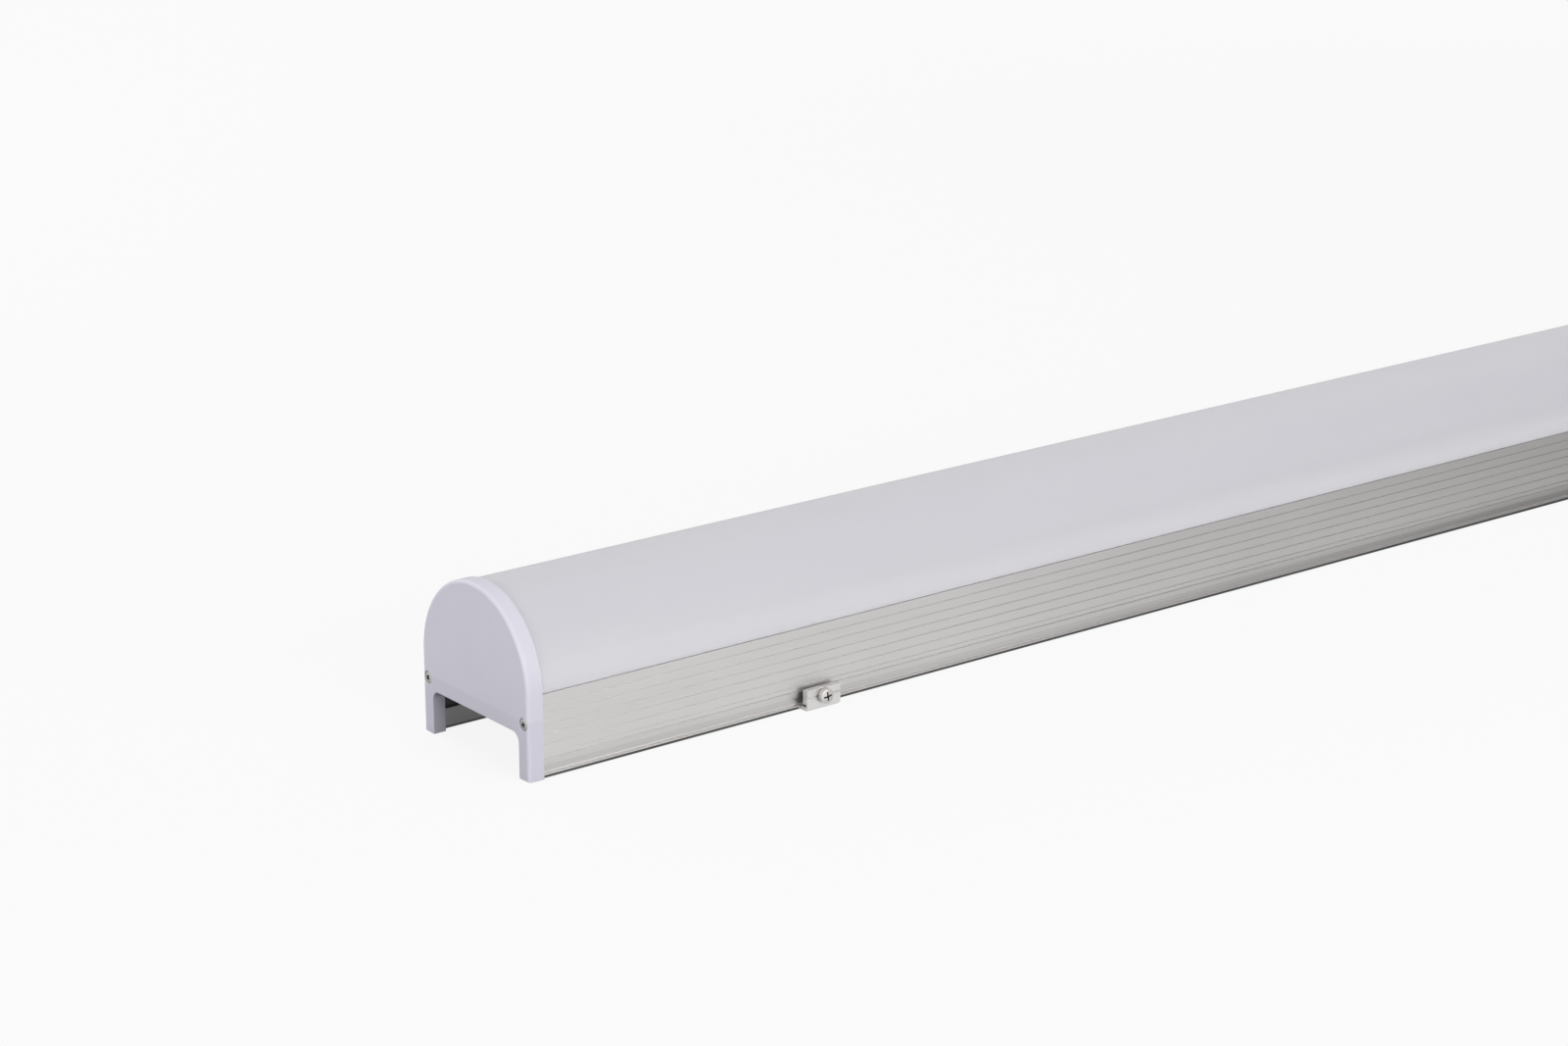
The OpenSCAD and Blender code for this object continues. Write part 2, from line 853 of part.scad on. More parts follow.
// Breather plug through the web, with side slots in its cap and a seat for its membrane
module vent_plug() {
    cap_z = web_z - ring_t - vent_cap_h;
    top_z = web_top + locknut_h + thread_out;
    color("dimgray") at_vent() difference() {
        union() {
            translate([0, 0, cap_z]) cylinder(r = vent_cap_r, h = vent_cap_h);
            translate([0, 0, web_z - ring_t]) cylinder(r = vent_thread_r, h = top_z - web_z + ring_t);
        }
        translate([0, 0, cap_z + vent_floor_t]) cylinder(r = vent_bore_r, h = top_z - cap_z);
        translate([0, 0, top_z - vent_seat_d]) cylinder(r = vent_seat_r, h = vent_seat_d + cut_over);
        for (k = [0 : vent_slot_count - 1]) {
            rotate([0, 0, k * 360 / vent_slot_count]) translate([0, -vent_slot_w / 2, cap_z + vent_floor_t])
                cube([vent_cap_r + cut_over, vent_slot_w, vent_slot_h]);
        }
    }
}

module vent_membrane() {
    top_z = web_top + locknut_h + thread_out;
    color("white") at_vent() translate([0, 0, top_z - vent_seat_d])
        cylinder(r = vent_seat_r - thread_fit, h = vent_membrane_t);
}

module vent_gasket() {
    color("black") at_vent() translate([0, 0, web_z - ring_t])
        ring(vent_thread_r + ring_w, vent_thread_r + web_hole_fit, ring_t);
}

module vent_locknut() {
    at_vent() locknut(vent_thread_r);
}

// Section of a clip: strip under the feet, pad, near ear with its relief slot, far hook
module clip_section() {
    difference() {
        union() {
            translate([-ear_y, 0]) square([ear_y + hook_y + hook_t, strip_t]);
            translate([-pad_y, 0]) square([2 * pad_y, pad_t]);
            translate([-ear_y, 0]) square([ear_y - half_w - hook_fit, root_t]);
            translate([-ear_y, 0]) square([ear_t, ear_h]);
            translate([hook_y, 0]) square([hook_t, nose_z + nose_h + hook_over]);
            translate([nose_y, nose_z]) square([hook_y + hook_t - nose_y, nose_h]);
        }
        translate([-ear_y + relief_skin, root_t]) square([ear_t, relief_h]);
        translate([-ear_y, screw_z]) polygon([
            [-cut_over, -line_w / 2],
            [0, -line_w / 2],
            [line_d, 0],
            [0, line_w / 2],
            [-cut_over, line_w / 2]
        ]);
    }
}

module mounting_clip() {
    color("lightgray") difference() {
        along_x(clip_x - clip_l / 2, clip_l) clip_section();
        translate([clip_x, 0, -cut_over]) cylinder(r = wall_hole_r, h = pad_t + 2 * cut_over);
        translate([clip_x, -ear_y + ear_t + cut_over, screw_z])
            towards_near() cylinder(r = clamp_r + thread_fit, h = ear_t + 2 * cut_over);
    }
}

module mounting_clip_left() {
    mounting_clip();
}

module mounting_clip_right() {
    right_end() mounting_clip();
}

// Split spring washer under the clamping screw's head
module clip_washer() {
    color("gainsboro") translate([clip_x, -ear_y, screw_z]) towards_near() difference() {
        ring(washer_r, clamp_r + 2 * thread_fit, washer_t);
        translate([0, -washer_split / 2, -cut_over])
            cube([washer_r + cut_over, washer_split, washer_t + 2 * cut_over]);
    }
}

module clip_washer_left() {
    clip_washer();
}

module clip_washer_right() {
    right_end() clip_washer();
}

module clip_screw() {
    shank_l = washer_t + ear_y - band_y - tip_gap;
    color("silver") translate([clip_x, -ear_y - washer_t, screw_z])
        towards_near() pan_screw(clamp_r, clamp_head_r, clamp_head_h, shank_l);
}

module clip_screw_left() {
    clip_screw();
}

module clip_screw_right() {
    right_end() clip_screw();
}

base_extrusion();
diffuser_cover();
cover_seal_near();
cover_seal_far();
end_cap_left();
end_cap_right();
cap_gasket_left();
cap_gasket_right();
cap_screws_left();
cap_screws_right();
led_board_left();
led_board_right();
thermal_tape_left();
thermal_tape_right();
leds_left();
leds_right();
driver_chips_left();
driver_chips_right();
board_link();
input_terminal();
output_terminal();
terminal_screws();
gland_body_left();
gland_body_right();
gland_gasket_left();
gland_gasket_right();
gland_seal_left();
gland_seal_right();
gland_nut_left();
gland_nut_right();
gland_locknut_left();
gland_locknut_right();
vent_plug();
vent_membrane();
vent_gasket();
vent_locknut();
mounting_clip_left();
mounting_clip_right();
clip_washer_left();
clip_washer_right();
clip_screw_left();
clip_screw_right();
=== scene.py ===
import json
import math
from collections import namedtuple

import bmesh
import bpy
from mathutils import Matrix, Vector


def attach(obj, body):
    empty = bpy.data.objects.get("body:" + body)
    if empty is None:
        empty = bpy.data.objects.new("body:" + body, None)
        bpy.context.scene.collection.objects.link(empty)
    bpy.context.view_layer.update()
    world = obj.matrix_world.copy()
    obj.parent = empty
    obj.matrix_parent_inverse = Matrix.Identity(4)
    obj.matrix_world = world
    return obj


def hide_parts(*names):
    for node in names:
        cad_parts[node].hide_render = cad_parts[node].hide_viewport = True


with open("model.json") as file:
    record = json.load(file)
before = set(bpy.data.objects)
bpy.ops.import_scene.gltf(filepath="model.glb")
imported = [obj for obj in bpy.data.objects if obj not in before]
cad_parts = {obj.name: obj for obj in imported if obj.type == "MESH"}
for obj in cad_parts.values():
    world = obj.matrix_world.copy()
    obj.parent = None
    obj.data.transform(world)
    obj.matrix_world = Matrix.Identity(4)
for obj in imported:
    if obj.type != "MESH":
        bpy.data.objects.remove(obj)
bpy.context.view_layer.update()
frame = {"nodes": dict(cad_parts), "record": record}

# Shapes are drawn in millimetres, and become metres when they become objects
MM = 0.001
MERGE = 1e-4            # points closer than this become one

# Places that several pieces share, as in the CAD model
END_X = 496.0           # ends of the body and of the cover
CAP_X = 500.0           # outer faces of the end caps
HALF_W = 40.0           # outer faces of the body's sides
WALL_Y = 38.0           # inner faces of its walls
FOOT_Y = 36.5           # inner faces of its feet
FOOT_LOW = 1.1
FOOT_TOP = 9.4
WEB_LOW = 21.6
WEB_TOP = 23.6
SEAM_Z = 38.0           # where the cover sits on the body, and the dome's centre
PORT = (37.25, 25.5)    # centre of a screw port
PORT_R = 2.75
GLAND_Y = 25.45
GLAND_XS = (-455.0, 455.0)
VENT_X = 392.0
CLIP_X = -343.5
SCREW_Z = 6.05          # height of the clamping screws
EAR_Y = -45.0           # outer face of the clip's ear


# Outlines

CORNER_SHARE = 0.49     # most of an edge that one rounded corner takes


def arc(cy, cz, r, start, end, n):
    """n + 1 points (y, z) of an arc between two angles in degrees."""
    angles = [math.radians(start + (end - start) * k / n) for k in range(n + 1)]
    return [(cy + r * math.cos(a), cz + r * math.sin(a)) for a in angles]


def rounded(points, n=4):
    """Closed outline of (y, z) or (y, z, radius) points, with its corners rounded."""
    out = []
    count = len(points)
    for i, point in enumerate(points):
        if len(point) == 2 or point[2] <= 0:
            out.append((point[0], point[1]))
            continue
        before = Vector(points[i - 1][:2])
        after = Vector(points[(i + 1) % count][:2])
        corner = Vector(point[:2])
        back = before - corner
        ahead = after - corner
        u = back.normalized()
        v = ahead.normalized()
        half = u.angle(v) / 2
        reach = min(point[2] / math.tan(half), CORNER_SHARE * back.length,
                    CORNER_SHARE * ahead.length)
        r = reach * math.tan(half)
        centre = corner + (u + v).normalized() * (r / math.sin(half))
        start = corner + u * reach - centre
        end = corner + v * reach - centre
        turn = start.angle_signed(end)
        for k in range(n + 1):
            a = -turn * k / n
            out.append((centre.x + start.x * math.cos(a) - start.y * math.sin(a),
                        centre.y + start.x * math.sin(a) + start.y * math.cos(a)))
    return out


def mirrored(points):
    """The same points on the other side of y = 0, in reverse order."""
    return [(-p[0],) + tuple(p[1:]) for p in reversed(points)]


# Meshes

ON_AXIS = 1e-6          # a smaller radius is a point on the axis
NORMAL_WEIGHT = 90


def at(x, y=0.0, z=0.0):
    return Matrix.Translation((x, y, z))


def spin(degrees, axis):
    return Matrix.Rotation(math.radians(degrees), 4, axis)


def add_object(name, data):
    obj = bpy.data.objects.new(name, data)
    bpy.context.scene.collection.objects.link(obj)
    return obj


def mesh_object(name, bm):
    mesh = bpy.data.meshes.new(name)
    bm.to_mesh(mesh)
    bm.free()
    return add_object(name, mesh)


def to_object(name, bm):
    bmesh.ops.remove_doubles(bm, verts=bm.verts, dist=MERGE)
    bmesh.ops.recalc_face_normals(bm, faces=bm.faces)
    bmesh.ops.scale(bm, vec=(MM, MM, MM), verts=bm.verts)
    return mesh_object(name, bm)


def bridge(bm, rows):
    """Faces between closed rows of equal counts."""
    count = len(rows[0])
    for a, b in zip(rows, rows[1:]):
        for k in range(count):
            j = (k + 1) % count
            bm.faces.new((a[k], a[j], b[j], b[k]))


def loft(name, rings):
    """Solid through closed rings of (x, y, z) points with equal counts."""
    bm = bmesh.new()
    rows = [[bm.verts.new(p) for p in ring] for ring in rings]
    bridge(bm, rows)
    bm.faces.new(rows[0])
    bm.faces.new(rows[-1])
    return to_object(name, bm)


def prism(name, outline, x0, x1):
    """Solid between x0 and x1 of an outline of (y, z) points."""
    return loft(name, [[(x, y, z) for y, z in outline] for x in (x0, x1)])


def turned(name, profile, place, n=64):
    """Solid of revolution of (radius, height) points about local Z, moved by a matrix."""
    bm = bmesh.new()
    turns = [2 * math.pi * k / n for k in range(n)]
    rows = []
    for r, h in profile:
        if r < ON_AXIS:
            rows.append([bm.verts.new((0, 0, h))])
        else:
            rows.append([bm.verts.new((r * math.cos(a), r * math.sin(a), h)) for a in turns])
    for a, b in zip(rows, rows[1:]):
        for k in range(n):
            j = (k + 1) % n
            if len(a) == 1 and len(b) == 1:
                continue
            if len(a) == 1:
                bm.faces.new((a[0], b[j], b[k]))
            elif len(b) == 1:
                bm.faces.new((a[k], a[j], b[0]))
            else:
                bm.faces.new((a[k], a[j], b[j], b[k]))
    bmesh.ops.transform(bm, matrix=place, verts=bm.verts)
    return to_object(name, bm)


def cylinder(r, z0, z1, place, n=64):
    """Cylinder that cuts a hole."""
    return turned("cut", [(0, z0), (r, z0), (r, z1), (0, z1)], place, n)


def tapered_bar(top, bottom, z_top, z_bottom, place):
    """Bar that cuts a slot, its plan going from top (length, width) to bottom."""
    bm = bmesh.new()
    rows = []
    for (length, width), z in ((top, z_top), (bottom, z_bottom)):
        rows.append([bm.verts.new((sx * length / 2, sy * width / 2, z))
                     for sx, sy in ((1, 1), (-1, 1), (-1, -1), (1, -1))])
    bridge(bm, rows)
    bm.faces.new(rows[0])
    bm.faces.new(rows[1])
    bmesh.ops.transform(bm, matrix=place, verts=bm.verts)
    return to_object("cut", bm)


def apply_modifiers(obj):
    graph = bpy.context.evaluated_depsgraph_get()
    mesh = bpy.data.meshes.new_from_object(obj.evaluated_get(graph))
    obj.modifiers.clear()
    old = obj.data
    obj.data = mesh
    mesh.name = obj.name
    bpy.data.meshes.remove(old)


def combine(obj, others, operation="DIFFERENCE"):
    for other in others:
        mod = obj.modifiers.new("shape", "BOOLEAN")
        mod.operation = operation
        mod.solver = "EXACT"
        mod.object = other
        bpy.context.view_layer.update()
        apply_modifiers(obj)
        bpy.data.objects.remove(other)
    return obj


def weigh_normals(obj):
    mod = obj.modifiers.new("normals", "WEIGHTED_NORMAL")
    mod.keep_sharp = True
    mod.weight = NORMAL_WEIGHT


def round_edges(obj, width, segments, angle):
    """Rounds the edges that are sharper than an angle in degrees."""
    mod = obj.modifiers.new("edges", "BEVEL")
    mod.width = width * MM
    mod.segments = segments
    mod.limit_method = "ANGLE"
    mod.angle_limit = math.radians(angle)
    mod.use_clamp_overlap = True
    mod.miter_outer = "MITER_ARC"
    bpy.context.view_layer.update()
    apply_modifiers(obj)


def shade(obj, smooth=32):
    """Shades faces that meet at less than an angle in degrees as one curve."""
    for poly in obj.data.polygons:
        poly.use_smooth = True
    obj.data.set_sharp_from_angle(angle=math.radians(smooth))
    weigh_normals(obj)
    return obj


def mirror_copy(obj, name):
    """Copy of a left piece for the right end."""
    mesh = obj.data.copy()
    mesh.transform(Matrix.Scale(-1, 4, (1, 0, 0)))
    mesh.flip_normals()
    other = add_object(name, mesh)
    weigh_normals(other)
    return other


def piece(obj, material, body, slot, *nodes, painted_shade=None):
    """Attaches a piece and hides its CAD nodes. Its faces with material number 1 take the second
    material.
    """
    # Clearing an empty list would still reset the faces' material numbers
    if obj.data.materials:
        obj.data.materials.clear()
    obj.data.materials.append(material)
    # The second material is a painted shade
    if painted_shade:
        obj.data.materials.append(painted_shade)
    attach(obj, body)
    if nodes:
        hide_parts(*nodes)
    return obj


def pair(left, material, slot, node, body=None, painted_shade=None):
    """Attaches a left piece and its mirror copy, on the light or on the clips' own bodies."""
    right = mirror_copy(left, left.name.removesuffix("_left") + "_right")
    for obj, side in ((right, "right"), (left, "left")):
        piece(obj, material, f"{side}_{body}" if body else "light", slot, f"{node}_{side}",
              painted_shade=painted_shade)


# Materials

# A band of painted light or shade below a height
PaintedBand = namedtuple("PaintedBand", "low high color")             # heights in metres
Speck = namedtuple("Speck", "scale size share color")

MIX_A, MIX_B, MIX_COLOR = 6, 7, 2       # a colour mix's inputs and output
GRAIN_RANGE = (0.3, 0.7)                # lowest and highest usual values of the fine noise
FINE_SHARE = 0.35                       # of the fine noise in the colour
RAMP_ENDS = (0.3, 0.62)                 # places of the dark and the base colour
SPECK_CORE = 0.6                        # share of a speck with its full colour


def rgba(color):
    return (*color, 1.0)


class Nodes:
    """Adds nodes to an emptied tree, with values or other nodes' sockets as inputs."""

    def __init__(self, tree):
        self.tree = tree
        tree.nodes.clear()

    def add(self, kind, inputs=None, **settings):
        node = self.tree.nodes.new(kind)
        for key, value in settings.items():
            setattr(node, key, value)
        for key, value in (inputs or {}).items():
            if isinstance(value, bpy.types.NodeSocket):
                self.tree.links.new(value, node.inputs[key])
            else:
                node.inputs[key].default_value = value
        return node

    def maths(self, operation, *values):
        return self.add("ShaderNodeMath", dict(enumerate(values)), operation=operation).outputs[0]

    def times(self, a, b):
        return self.maths("MULTIPLY", a, b)

    def ramp(self, value, low, high, at_low, at_high, kind="LINEAR"):
        return self.add("ShaderNodeMapRange", {
            "Value": value, "From Min": low, "From Max": high, "To Min": at_low,
            "To Max": at_high}, interpolation_type=kind).outputs[0]

    def fade(self, value, low, high, at_low, at_high):
        return self.ramp(value, low, high, at_low, at_high, "SMOOTHSTEP")

    def mix(self, factor, a, b):
        return self.add("ShaderNodeMix", {"Factor": factor, "A": a, "B": b},
                        data_type="FLOAT").outputs[0]

    def mix_color(self, factor, a, b):
        return self.add("ShaderNodeMix", {"Factor": factor, MIX_A: a, MIX_B: b},
                        data_type="RGBA").outputs[MIX_COLOR]

    def mix_shader(self, factor, a, b):
        return self.add("ShaderNodeMixShader", {0: factor, 1: a, 2: b}).outputs[0]

    def noise(self, place, scale, detail, rough):
        return self.add("ShaderNodeTexNoise", {
            "Vector": place, "Scale": scale, "Detail": detail,
            "Roughness": rough}).outputs["Fac"]

    def grey(self, value):
        return self.add("ShaderNodeCombineXYZ", {0: value, 1: value, 2: value}).outputs[0]

    def place(self, name):
        return self.add("ShaderNodeTexCoord").outputs[name]

    def split(self, vector):
        return self.add("ShaderNodeSeparateXYZ", {0: vector}).outputs


def new_material(name):
    mat = bpy.data.materials.new(name)
    mat.use_nodes = True
    return mat, Nodes(mat.node_tree)


def add_painted_band(n, place, color, painted_band):
    """Painted light or shade: another colour below a height."""
    height = n.split(place)[2]
    return n.mix_color(n.fade(height, painted_band.low, painted_band.high, 1.0, 0.0), color, rgba(painted_band.color))


def add_specks(n, place, color, speck):
    """Rare small spots of another colour."""
    cells = n.add("ShaderNodeTexVoronoi", {"Vector": place, "Scale": speck.scale,
                                           "Randomness": 1.0}, feature="F1")
    chance = n.add("ShaderNodeSeparateColor", {"Color": cells.outputs["Color"]}).outputs[0]
    near = n.ramp(cells.outputs["Distance"], speck.size * SPECK_CORE, speck.size, 1.0, 0.0)
    rare = n.maths("GREATER_THAN", chance, 1.0 - speck.share)
    return n.mix_color(n.times(near, rare), color, rgba(speck.color))


def surface(name, base, dark, rough, metallic=0.0, patch=40.0, grain=2500.0,
            stretch=(1, 1, 1), bump=0.05, bump_size=0.00005, rough_span=0.06, speck=None,
            painted_band=None, extra=None):
    """Procedural finish: slow colour patches, fine grain in roughness and relief."""
    mat, n = new_material(name)
    place = n.place("Object")
    mapped = n.add("ShaderNodeMapping", {"Vector": place, "Scale": stretch}).outputs["Vector"]
    slow = n.noise(place, patch, 3.0, 0.55)
    fine = n.noise(mapped, grain, 4.0, 0.6)
    ramp = n.add("ShaderNodeValToRGB", {"Fac": n.mix(FINE_SHARE, slow, fine)})
    for element, position, tone in zip(ramp.color_ramp.elements, RAMP_ENDS, (dark, base)):
        element.position = position
        element.color = rgba(tone)
    color = ramp.outputs["Color"]
    if painted_band:
        color = add_painted_band(n, place, color, painted_band)
    if speck:
        color = add_specks(n, place, color, speck)
    roughness = n.ramp(fine, *GRAIN_RANGE, rough - rough_span, rough + rough_span)
    relief = n.add("ShaderNodeBump", {"Strength": bump, "Distance": bump_size, "Height": fine})
    shader = n.add("ShaderNodeBsdfPrincipled", {
        "Base Color": color, "Roughness": roughness, "Normal": relief.outputs["Normal"],
        "Metallic": metallic, **(extra or {})})
    n.add("ShaderNodeOutputMaterial", {"Surface": shader.outputs[0]})
    return mat


ALUMINIUM = surface(
    "anodised_aluminium", (0.668, 0.656, 0.651), (0.628, 0.616, 0.611), 0.38, 1.0, patch=9.0,
    grain=2600.0, stretch=(0.004, 1, 1), bump=0.25, bump_size=0.00003, rough_span=0.07)
# Painted shade: a darker aluminium for the faces in the channel's recess
CHANNEL_SHADE = surface(
    "channel_painted_shade", (0.150, 0.153, 0.162), (0.120, 0.123, 0.132), 0.50, 1.0, patch=9.0,
    grain=2200.0, stretch=(0.004, 1, 1), bump=0.2, bump_size=0.00003, rough_span=0.06)
# Painted light: the cover is lighter along its foot, where it lies close to the body
OPAL = surface(
    "opal_cover", (0.750, 0.754, 0.825), (0.735, 0.739, 0.811), 0.40, patch=14.0,
    grain=1400.0, bump=0.02, rough_span=0.03,
    speck=Speck(55.0, 0.018, 0.05, (0.30, 0.30, 0.31)),
    painted_band=PaintedBand(0.0425, 0.0535, (0.880, 0.874, 0.945)),
    extra={"Subsurface Weight": 0.5, "Subsurface Scale": 0.012,
           "Subsurface Radius": (1.0, 1.0, 1.0), "IOR": 1.49, "Coat Weight": 0.35,
           "Coat Roughness": 0.22})
# Painted shade: the end caps are darker on their legs and below the screws
WHITE = surface(
    "white_plastic", (0.738, 0.727, 0.818), (0.720, 0.708, 0.803), 0.46, patch=45.0,
    grain=3800.0, bump=0.12, rough_span=0.04,
    painted_band=PaintedBand(0.0255, 0.0285, (0.680, 0.672, 0.768)),
    extra={"Subsurface Weight": 0.08, "Subsurface Scale": 0.001,
           "Subsurface Radius": (1.0, 1.0, 1.0)})
CLIP = surface(
    "clip_metal", (0.735, 0.722, 0.712), (0.695, 0.682, 0.672), 0.38, 1.0, patch=120.0,
    grain=3200.0, stretch=(0.06, 1, 1), bump=0.15, rough_span=0.08)
STEEL = surface(
    "steel_screw", (0.600, 0.585, 0.572), (0.525, 0.510, 0.497), 0.56, 1.0, patch=500.0,
    grain=4200.0, bump=0.18, rough_span=0.08)
# Painted shade: near black for the faces inside a screw's cross
RECESS_SHADE = surface(
    "screw_recess_painted_shade", (0.045, 0.041, 0.040), (0.022, 0.020, 0.020), 0.70, patch=700.0,
    grain=4800.0, bump=0.25, rough_span=0.08)
NUT = surface(
    "nut_metal", (0.66, 0.65, 0.62), (0.58, 0.57, 0.54), 0.33, 1.0, patch=300.0,
    grain=3000.0, bump=0.15)
SILICONE = surface(
    "silicone", (0.62, 0.62, 0.63), (0.56, 0.56, 0.57), 0.62, patch=60.0, grain=2600.0,
    bump=0.1)
RUBBER = surface(
    "black_rubber", (0.030, 0.030, 0.032), (0.020, 0.020, 0.022), 0.68, patch=90.0,
    grain=3000.0, bump=0.2)
BOARD = surface(
    "board_white", (0.84, 0.84, 0.82), (0.80, 0.80, 0.78), 0.38, patch=60.0, grain=2400.0)
TAPE = surface(
    "heat_tape", (0.50, 0.56, 0.62), (0.44, 0.50, 0.56), 0.70, patch=80.0, grain=1800.0,
    bump=0.2)
LED = surface(
    "led_package", (0.86, 0.80, 0.42), (0.82, 0.74, 0.34), 0.35, patch=500.0,
    grain=3000.0, bump=0.08)
CHIP = surface(
    "chip_black", (0.024, 0.024, 0.026), (0.016, 0.016, 0.018), 0.55, patch=400.0,
    grain=4200.0, bump=0.25)
LINK = surface(
    "link_beige", (0.72, 0.66, 0.52), (0.66, 0.60, 0.47), 0.50, patch=200.0, grain=3000.0,
    bump=0.12)
TERMINAL = surface(
    "terminal_green", (0.045, 0.30, 0.16), (0.035, 0.25, 0.13), 0.45, patch=200.0,
    grain=3200.0, bump=0.12)
GLAND = surface(
    "gland_plastic", (0.065, 0.067, 0.071), (0.048, 0.050, 0.054), 0.48, patch=150.0,
    grain=3600.0, bump=0.18)
MEMBRANE = surface(
    "membrane", (0.80, 0.80, 0.80), (0.74, 0.74, 0.74), 0.75, patch=400.0, grain=5000.0,
    bump=0.3)

SLOTS = {
    "anodised_aluminium": ALUMINIUM, "opal_cover": OPAL, "white_plastic": WHITE,
    "silicone": SILICONE, "black_rubber": RUBBER, "steel_screw": STEEL, "clip_metal": CLIP,
    "board_white": BOARD, "heat_tape": TAPE, "led_package": LED, "chip_black": CHIP,
    "link_beige": LINK, "terminal_green": TERMINAL, "gland_plastic": GLAND,
    "nut_metal": NUT, "membrane": MEMBRANE,
}


# Aluminium body, on the +Y side: (y, z) or (y, z, corner radius) points

CHANNEL_WALL = [(0.0, WEB_LOW), (WALL_Y, WEB_LOW, 0.6), (WALL_Y, FOOT_TOP, 0.6),
                (FOOT_Y, FOOT_TOP, 0.5), (FOOT_Y, FOOT_LOW, 0.25)]
LIP = [(HALF_W, FOOT_LOW, 0.32), (HALF_W, 1.75, 0.1)]
CLIP_VALLEY = [(38.75, 2.2, 0.4), (39.28, 5.3, 0.2)]
LOW_BAND = [(39.52, 5.5, 0.1), (39.86, 8.2, 0.1), (39.4, 8.5, 0.1), (HALF_W, 9.0, 0.1)]
COVER_SEAT = [(HALF_W, SEAM_Z, 0.15), (WALL_Y, SEAM_Z, 0.15), (WALL_Y, 36.6),
              (37.2, 36.6, 0.15), (37.2, 35.4, 0.15), (WALL_Y, 35.4)]
SCREW_PORT = (arc(*PORT, PORT_R, 74.17, 156.4, 14) + arc(*PORT, 1.5, 132.8, -180.0, 30)
              + arc(*PORT, PORT_R, 180.0, 223.7, 8))
BOARD_RIB = [(16.4, WEB_TOP, 0.3), (16.4, 26.7, 0.2), (14.4, 26.7, 0.2), (14.4, 25.9, 0.15),
             (15.2, 25.9, 0.15), (15.2, WEB_TOP, 0.2), (0.0, WEB_TOP)]
GROOVE_COUNT = 6
GROOVE_PITCH = 4.5
GROOVE_HALF = 0.28
GROOVE_Y = 39.70        # bottom of a groove
WEB_HOLE_R = 6.1
WEB_CUT = (20.0, 25.0)
# Faces of the body inside these limits take a painted shade, darker than the aluminium, in the
# channel's recess
CHANNEL_SHADE_Y = 38.1
CHANNEL_SHADE_Z = (9.3, 21.3)


def extrusion_half():
    """From the middle of the web's underside round the side to the middle of its top."""
    half = CHANNEL_WALL + LIP + CLIP_VALLEY + LOW_BAND
    for k in range(GROOVE_COUNT, 0, -1):
        z = SEAM_Z - GROOVE_PITCH * k
        half += [(HALF_W, z - GROOVE_HALF, 0.06), (GROOVE_Y, z, 0.05),
                 (HALF_W, z + GROOVE_HALF, 0.06)]
    return half + COVER_SEAT + SCREW_PORT + BOARD_RIB


def make_extrusion():
    half = extrusion_half()
    outline = rounded(half + mirrored(half)[1:-1], 3)
    body = prism("extrusion_body", outline, -END_X, END_X)
    combine(body, [cylinder(WEB_HOLE_R, *WEB_CUT, at(x, GLAND_Y), 48)
                   for x in (*GLAND_XS, VENT_X)])
    # The faces in the channel's recess take the painted shade
    for poly in body.data.polygons:
        centre = poly.center / MM
        if abs(centre.y) < CHANNEL_SHADE_Y and CHANNEL_SHADE_Z[0] < centre.z < CHANNEL_SHADE_Z[1]:
            poly.material_index = 1
    shade(body)
    piece(body, ALUMINIUM, "light", "anodised_aluminium", "base_extrusion", painted_shade=CHANNEL_SHADE)


# Cover

COVER_IN_R = 38.0
COVER_EDGE = (39.63, 38.50, 0.35)       # centre and radius of its rounded lower edge
COVER_FOOT = (37.05, 38.15, 0.3)        # inner end of that edge
# Snap leg inside the body, from its inner face round its tip to the barb
SNAP_LEG = [(35.65, 40.75, 0.3), (35.65, 33.45, 0.3), (37.05, 33.45, 0.3),
            (37.8, 35.25, 0.15), (37.05, 35.25, 0.1)]


def make_cover():
    edge = [p for p in arc(*COVER_EDGE, -90.0, 12.0, 12)
            if math.hypot(p[0], p[1] - SEAM_Z) < HALF_W]
    start = math.degrees(math.atan2(edge[-1][1] - SEAM_Z, edge[-1][0])) + 1.0
    end = math.degrees(math.asin(PORT_R / COVER_IN_R))
    outer = [COVER_FOOT] + edge + arc(0, SEAM_Z, HALF_W, start, 90.0, 64)
    inner = arc(0, SEAM_Z, COVER_IN_R, 90.0, end, 48)
    low = inner[1:] + SNAP_LEG
    # The outer line runs from +Y over the top to -Y, the inner one back again
    loop = outer + mirrored(outer)[1:] + mirrored(low) + [inner[0]] + low
    cover = prism("diffuser_shell", rounded(loop, 4), -END_X, END_X)
    shade(cover)
    piece(cover, OPAL, "light", "opal_cover", "diffuser_cover")


# End caps

CAP_R = 41.0                    # outer radius of the dome
CAP_BACK_X = -491.9
CAP_EDGE = 1.8                  # rounding of the outer face's edge
CAP_ARCH_EDGE = 0.45
CAP_FOOT_EDGE = 0.35
CAP_BACK_EDGE = 0.25
CAP_EDGE_STEPS = 8
CAP_ARC_STEPS = 96
CAP_SIDE_ZS = (8.0, 18.0, 28.0)
CAP_TOP_YS = (20.0, 10.0, 0.0, -10.0, -20.0)
ARCH_Y, ARCH_Z, ARCH_R = 33.6, 20.4, 4.5        # arch over the channel: side, top, corner
POCKET_X = -497.0               # where the body and its gasket end
POCKET_Y = 40.1
INNER_X = -493.7                # end of the inner shell beside the channel
CUT_X = -480.0                  # a plane past the cap's back
HEAD_HOLE_R = 2.9
HEAD_HOLE_EDGE = 0.35
SHANK_HOLE_R = 1.7


